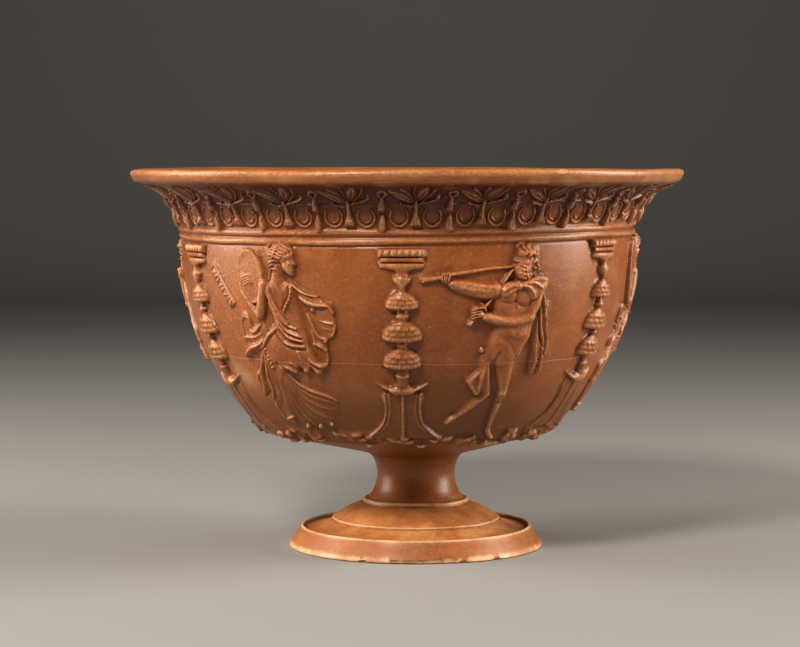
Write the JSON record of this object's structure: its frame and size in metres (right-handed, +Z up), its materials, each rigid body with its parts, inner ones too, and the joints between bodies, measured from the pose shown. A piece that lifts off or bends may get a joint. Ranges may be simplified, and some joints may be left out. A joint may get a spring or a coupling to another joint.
{
  "type": "red-slip bowl",
  "caption": "Footed bowl of red-slipped clay with a flaring lip, a stepped foot and moulded relief of dancers, pipers and lampstands, for mixing and serving drink.",
  "frame": {"origin": "on the bowl's axis, on the plane that the foot stands on", "axes": "+Z up along the bowl's axis, -Y towards the side with the lampstand between dancer and piper that the picture shows"},
  "size_m": [0.2084, 0.2084, 0.1432],
  "materials": {
    "red_slip": "satin red slip, worn on the relief"
  },
  "bodies": {
    "root": {"red_slip_bowl": "red_slip"}
  },
  "joints": []
}
